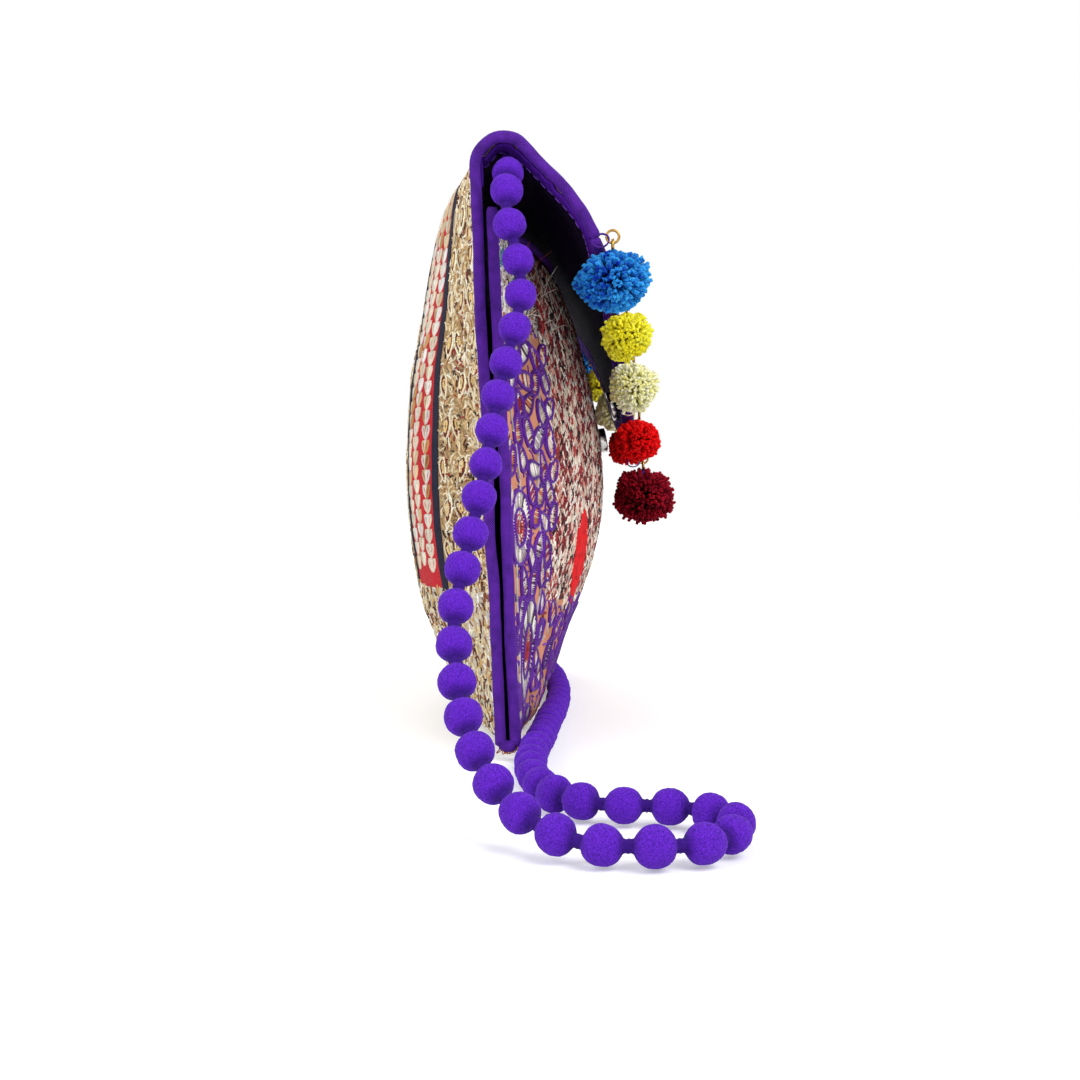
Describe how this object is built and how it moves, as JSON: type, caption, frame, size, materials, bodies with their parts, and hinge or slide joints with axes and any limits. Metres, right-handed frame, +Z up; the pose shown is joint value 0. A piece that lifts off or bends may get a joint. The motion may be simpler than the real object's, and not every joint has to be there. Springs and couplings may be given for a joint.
{
  "type": "envelope clutch bag",
  "caption": "Stuffed cloth envelope clutch with a pointed flap hanging over its mouth, corded edges, wool pompoms on rings along the flap and a strap of felt balls.",
  "frame": {"origin": "middle of the flat underside", "axes": "+X along the bag's width, -Y out of the front that the flap hangs over, +Z up"},
  "size_m": [0.4057, 0.1072, 0.2],
  "materials": {
    "front_cloth": "embroidered cotton",
    "back_cloth": "embroidered cotton",
    "lining": "satin",
    "purple_cord": "corded cloth",
    "purple_felt": "felt",
    "nickel": "polished",
    "brass": "polished",
    "blue_wool": "wool",
    "yellow_wool": "wool",
    "cream_wool": "wool",
    "red_wool": "wool",
    "maroon_wool": "wool"
  },
  "bodies": {
    "bag": {"front_panel": "front_cloth", "back_panel_with_flap": "back_cloth", "pouch_lining": "lining", "flap_lining": "lining", "side_cord_left": "purple_cord", "side_cord_right": "purple_cord", "flap_cord": "purple_cord", "mouth_cord": "purple_cord", "closing_stud": "nickel", "closing_socket": "nickel", "ball_strap": "purple_felt", "strap_tab_left": "purple_felt", "strap_tab_right": "purple_felt", "pompom_1_upper_ring": "brass", "pompom_2_upper_ring": "brass", "pompom_3_upper_ring": "brass", "pompom_4_upper_ring": "brass", "pompom_5_upper_ring": "brass", "pompom_6_upper_ring": "brass", "pompom_7_upper_ring": "brass", "pompom_8_upper_ring": "brass", "pompom_9_upper_ring": "brass"},
    "pompom_1_hang": {"pompom_1_lower_ring": "brass", "pompom_1": "blue_wool"},
    "pompom_2_hang": {"pompom_2_lower_ring": "brass", "pompom_2": "yellow_wool"},
    "pompom_3_hang": {"pompom_3_lower_ring": "brass", "pompom_3": "cream_wool"},
    "pompom_4_hang": {"pompom_4_lower_ring": "brass", "pompom_4": "red_wool"},
    "pompom_5_hang": {"pompom_5_lower_ring": "brass", "pompom_5": "maroon_wool"},
    "pompom_6_hang": {"pompom_6_lower_ring": "brass", "pompom_6": "red_wool"},
    "pompom_7_hang": {"pompom_7_lower_ring": "brass", "pompom_7": "cream_wool"},
    "pompom_8_hang": {"pompom_8_lower_ring": "brass", "pompom_8": "yellow_wool"},
    "pompom_9_hang": {"pompom_9_lower_ring": "brass", "pompom_9": "blue_wool"}
  },
  "joints": [
    {"name": "pompom_1_swing", "type": "hinge", "parent": "bag", "child": "pompom_1_hang", "pos_m": [-0.1258, -0.0373, 0.16627], "axis": [-1, 0, 0], "range_deg": [-10, 70]},
    {"name": "pompom_2_swing", "type": "hinge", "parent": "bag", "child": "pompom_2_hang", "pos_m": [-0.09285, -0.04375, 0.15159], "axis": [-1, 0, 0], "range_deg": [-10, 70]},
    {"name": "pompom_3_swing", "type": "hinge", "parent": "bag", "child": "pompom_3_hang", "pos_m": [-0.0619, -0.04847, 0.13783], "axis": [-1, 0, 0], "range_deg": [-10, 70]},
    {"name": "pompom_4_swing", "type": "hinge", "parent": "bag", "child": "pompom_4_hang", "pos_m": [-0.03095, -0.05281, 0.11959], "axis": [-1, 0, 0], "range_deg": [-10, 70]},
    {"name": "pompom_5_swing", "type": "hinge", "parent": "bag", "child": "pompom_5_hang", "pos_m": [0, -0.05667, 0.1006], "axis": [-1, 0, 0], "range_deg": [-10, 70]},
    {"name": "pompom_6_swing", "type": "hinge", "parent": "bag", "child": "pompom_6_hang", "pos_m": [0.03095, -0.05281, 0.11959], "axis": [-1, 0, 0], "range_deg": [-10, 70]},
    {"name": "pompom_7_swing", "type": "hinge", "parent": "bag", "child": "pompom_7_hang", "pos_m": [0.0619, -0.04847, 0.13783], "axis": [-1, 0, 0], "range_deg": [-10, 70]},
    {"name": "pompom_8_swing", "type": "hinge", "parent": "bag", "child": "pompom_8_hang", "pos_m": [0.09285, -0.04375, 0.15159], "axis": [-1, 0, 0], "range_deg": [-10, 70]},
    {"name": "pompom_9_swing", "type": "hinge", "parent": "bag", "child": "pompom_9_hang", "pos_m": [0.1258, -0.0373, 0.16627], "axis": [-1, 0, 0], "range_deg": [-10, 70]}
  ]
}
